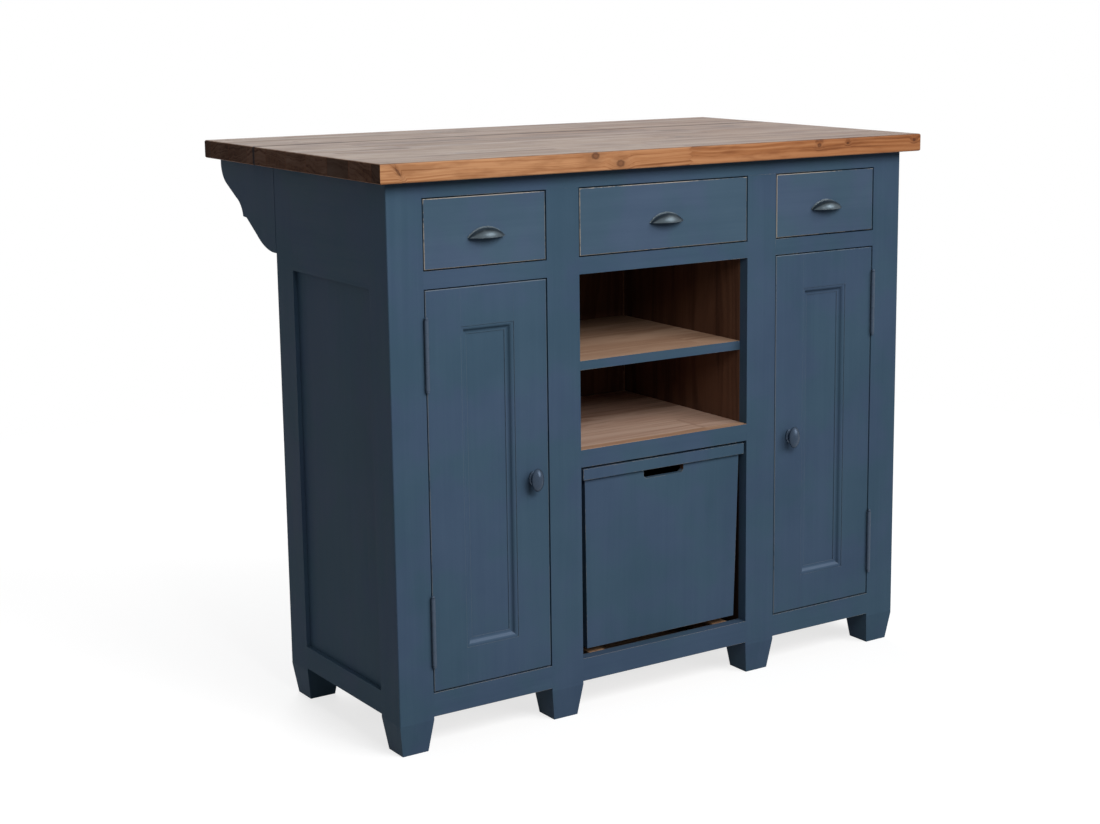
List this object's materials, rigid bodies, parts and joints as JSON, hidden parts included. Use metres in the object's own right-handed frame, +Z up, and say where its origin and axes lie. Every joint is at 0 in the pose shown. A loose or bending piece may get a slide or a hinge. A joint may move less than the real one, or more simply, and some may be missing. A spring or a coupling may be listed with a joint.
{
  "type": "kitchen island unit",
  "caption": "Free-standing kitchen island with drawers, panelled doors, an open niche, a pull-out bin and a hinged worktop leaf on scroll brackets.",
  "frame": {"origin": "on the floor, under the middle of the worktop with its leaf up", "axes": "+Z up, front faces -Y, +X to the right as seen from the front"},
  "size_m": [1.056, 0.6314, 0.92],
  "materials": {
    "painted_wood": "satin",
    "waxed_pine": "satin",
    "inside_pine": "satin",
    "hinge_iron": "satin",
    "dark_iron": "polished",
    "catch_plastic": "matte"
  },
  "bodies": {
    "carcass": {"corner_post_front_left": "painted_wood", "corner_post_front_right": "painted_wood", "corner_post_back_left": "painted_wood", "corner_post_back_right": "painted_wood", "middle_stile_left": "painted_wood", "middle_stile_right": "painted_wood", "middle_feet": "painted_wood", "front_top_rail": "painted_wood", "front_cross_rails": "painted_wood", "front_bottom_rails": "painted_wood", "side_rails_left": "painted_wood", "side_rails_right": "painted_wood", "side_panel_left": "painted_wood", "side_panel_right": "painted_wood", "back_frame": "painted_wood", "back_panels": "painted_wood", "cupboard_floors": "inside_pine", "cupboard_shelves": "inside_pine", "niche_shelf": "inside_pine", "niche_floor": "inside_pine", "niche_ceiling": "inside_pine", "partition_left": "inside_pine", "partition_right": "inside_pine", "drawer_runners": "inside_pine", "bin_runners": "inside_pine", "door_catches": "catch_plastic", "door_hinge_jamb_leaves": "hinge_iron", "bracket_hinge_back_leaves": "hinge_iron", "leaf_hinge_top_plates": "hinge_iron", "hinge_pins": "hinge_iron", "worktop": "waxed_pine"},
    "door_left": {"door_left_frame": "painted_wood", "door_left_panel": "painted_wood", "door_left_moulding": "painted_wood", "door_left_knob": "dark_iron", "door_left_hinge_leaves": "hinge_iron"},
    "door_right": {"door_right_frame": "painted_wood", "door_right_panel": "painted_wood", "door_right_moulding": "painted_wood", "door_right_knob": "dark_iron", "door_right_hinge_leaves": "hinge_iron"},
    "drawer_left": {"drawer_left_front": "painted_wood", "drawer_left_box": "inside_pine", "drawer_left_pull": "dark_iron"},
    "drawer_middle": {"drawer_middle_front": "painted_wood", "drawer_middle_box": "inside_pine", "drawer_middle_pull": "dark_iron"},
    "drawer_right": {"drawer_right_front": "painted_wood", "drawer_right_box": "inside_pine", "drawer_right_pull": "dark_iron"},
    "bin": {"bin_front": "painted_wood", "bin_walls": "painted_wood", "bin_base": "painted_wood", "bin_rim": "painted_wood"},
    "bracket_left": {"bracket_left": "painted_wood", "bracket_left_hinge_leaf": "hinge_iron"},
    "bracket_right": {"bracket_right": "painted_wood", "bracket_right_hinge_leaf": "hinge_iron"},
    "leaf": {"worktop_leaf": "waxed_pine", "leaf_hinge_leaf_plates": "hinge_iron"}
  },
  "joints": [
    {"name": "door_left_hinge", "type": "hinge", "parent": "carcass", "child": "door_left", "pos_m": [-0.445, -0.2914, 0.411], "axis": [0, 0, -1], "range_deg": [0, 180]},
    {"name": "door_right_hinge", "type": "hinge", "parent": "carcass", "child": "door_right", "pos_m": [0.445, -0.2914, 0.411], "axis": [0, 0, 1], "range_deg": [0, 180]},
    {"name": "drawer_left_slide", "type": "slide", "parent": "carcass", "child": "drawer_left", "axis": [0, -1, 0], "range_m": [0, 0.24]},
    {"name": "drawer_middle_slide", "type": "slide", "parent": "carcass", "child": "drawer_middle", "axis": [0, -1, 0], "range_m": [0, 0.24]},
    {"name": "drawer_right_slide", "type": "slide", "parent": "carcass", "child": "drawer_right", "axis": [0, -1, 0], "range_m": [0, 0.24]},
    {"name": "bin_slide", "type": "slide", "parent": "carcass", "child": "bin", "axis": [0, -1, 0], "range_m": [0, 0.34]},
    {"name": "bracket_left_swing", "type": "hinge", "parent": "carcass", "child": "bracket_left", "pos_m": [-0.4852, 0.0971, 0.82], "axis": [0, 0, -1], "range_deg": [0, 90]},
    {"name": "bracket_right_swing", "type": "hinge", "parent": "carcass", "child": "bracket_right", "pos_m": [0.4852, 0.0971, 0.82], "axis": [0, 0, 1], "range_deg": [0, 90]},
    {"name": "leaf_hinge", "type": "hinge", "parent": "carcass", "child": "leaf", "pos_m": [0, 0.119, 0.8862], "axis": [1, 0, 0], "range_deg": [0, 1.5]}
  ]
}
